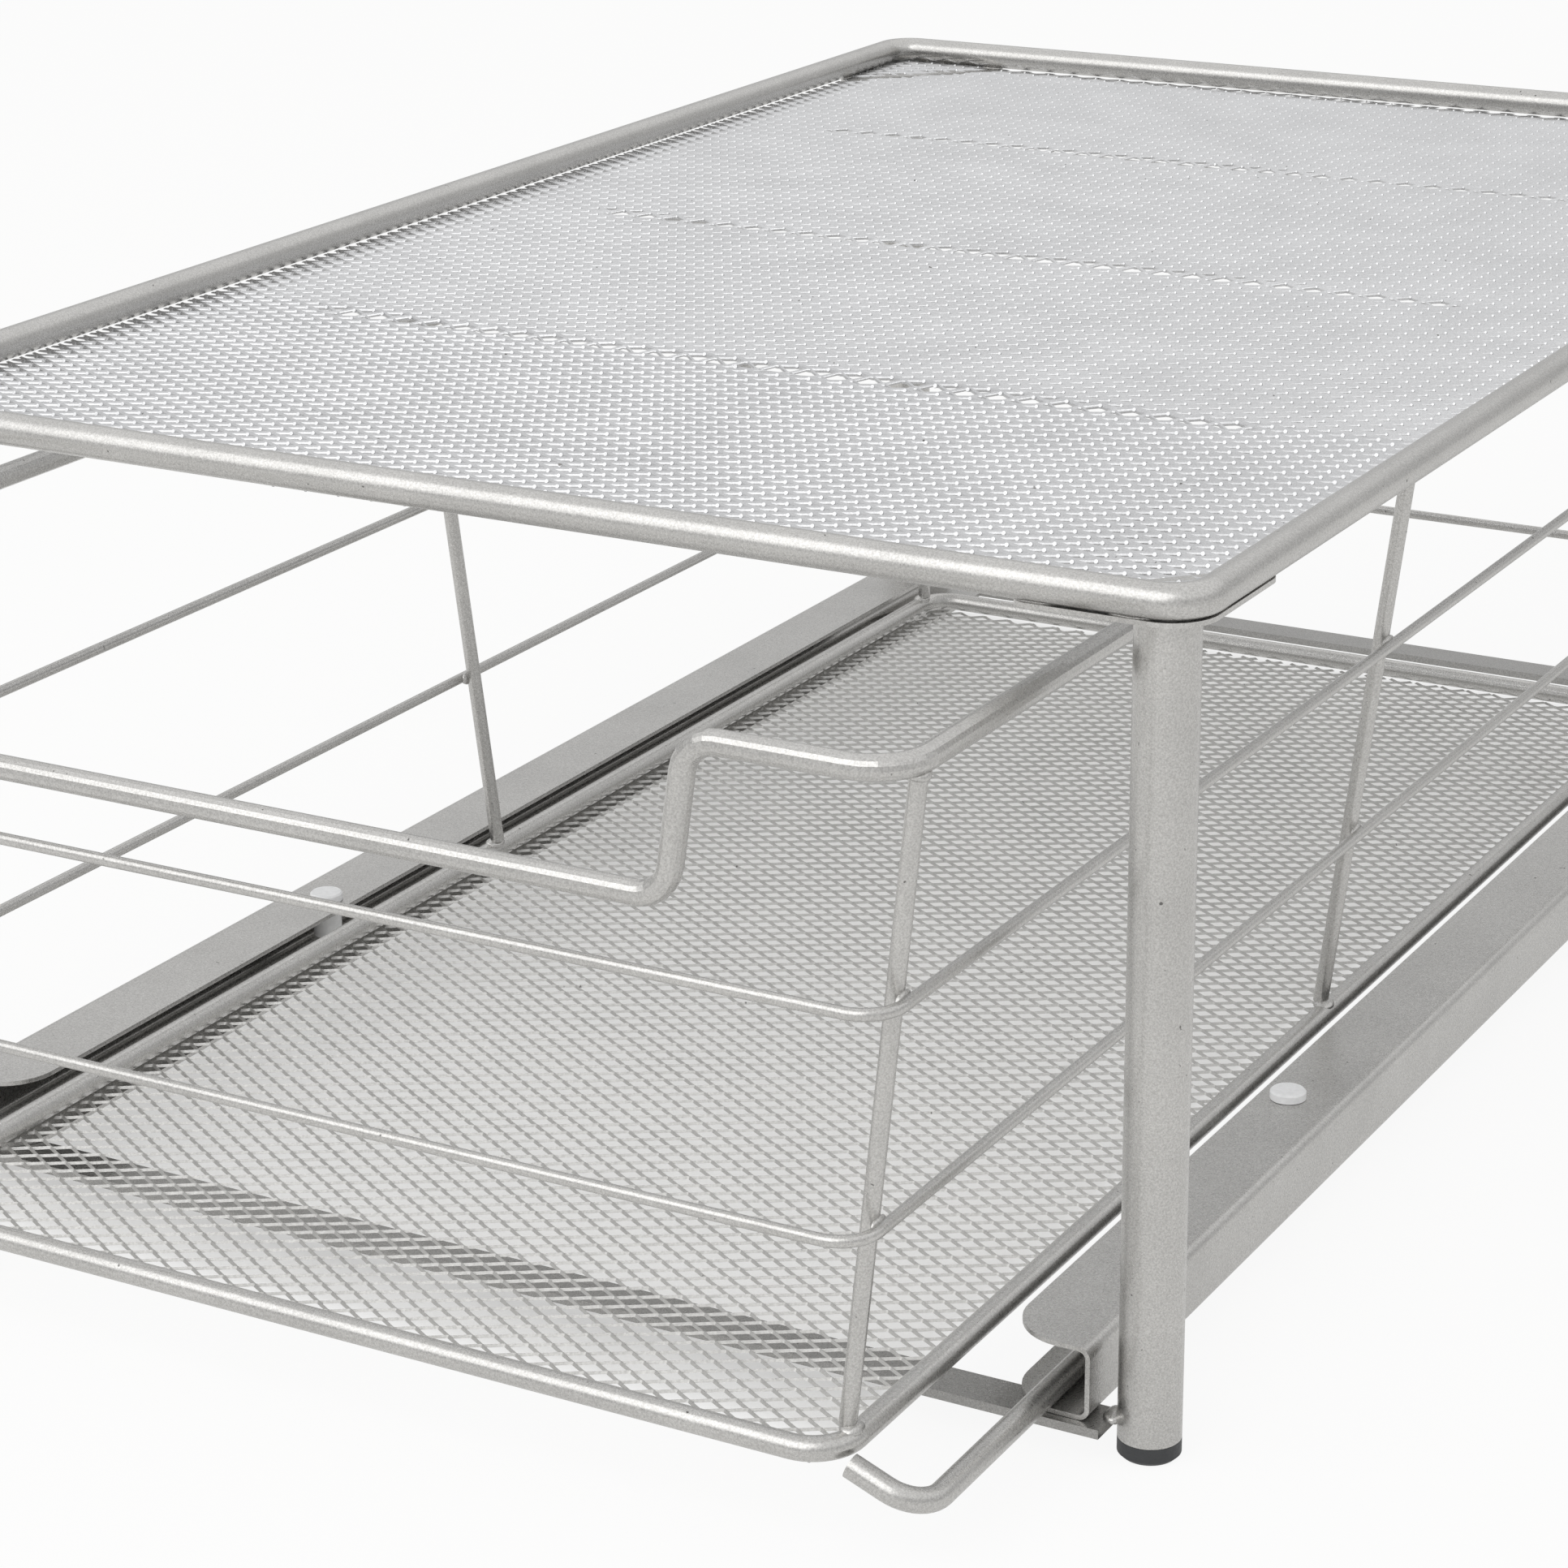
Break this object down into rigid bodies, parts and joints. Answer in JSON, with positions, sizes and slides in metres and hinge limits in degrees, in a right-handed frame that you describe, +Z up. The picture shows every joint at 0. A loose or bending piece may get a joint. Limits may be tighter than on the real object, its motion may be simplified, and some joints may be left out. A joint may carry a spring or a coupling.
{
  "type": "sliding drawer organizer",
  "caption": "Wire drawer with a mesh floor and a dipped front, sliding in two channel rails under a mesh shelf on tube legs.",
  "frame": {"origin": "on the ground, below the middle of the part with its drawer drawn out as stored", "axes": "+Z up, -Y the front, towards which the drawer slides, +X to the right seen from the front"},
  "size_m": [0.324, 0.556, 0.18],
  "materials": {
    "silver_coat": "satin silver powder coat with fine flake",
    "expanded_mesh": "satin silver powder coat on expanded metal",
    "foot_plastic": "matte black",
    "glide_plastic": "smooth white"
  },
  "bodies": {
    "frame": {"shelf_rim": "silver_coat", "shelf_mesh": "expanded_mesh", "gusset_front_left": "silver_coat", "gusset_front_right": "silver_coat", "gusset_rear_left": "silver_coat", "gusset_rear_right": "silver_coat", "leg_front_left": "silver_coat", "leg_front_right": "silver_coat", "leg_rear_left": "silver_coat", "leg_rear_right": "silver_coat", "foot_front_left": "foot_plastic", "foot_front_right": "foot_plastic", "foot_rear_left": "foot_plastic", "foot_rear_right": "foot_plastic", "front_bar": "silver_coat", "rear_bar": "silver_coat", "rail_left": "silver_coat", "rail_right": "silver_coat", "glide_left": "glide_plastic", "glide_right": "glide_plastic"},
    "drawer": {"drawer_rim": "silver_coat", "floor_rim": "silver_coat", "floor_mesh": "expanded_mesh", "upper_wire": "silver_coat", "lower_wire": "silver_coat", "upright_front_left": "silver_coat", "upright_front_right": "silver_coat", "upright_middle_left": "silver_coat", "upright_middle_right": "silver_coat", "upright_rear_left": "silver_coat", "upright_rear_right": "silver_coat", "runner_left": "silver_coat", "runner_right": "silver_coat"}
  },
  "joints": [
    {"name": "drawer_slide", "type": "slide", "parent": "frame", "child": "drawer", "axis": [0, -1, 0], "range_m": [-0.058, 0.289]}
  ]
}
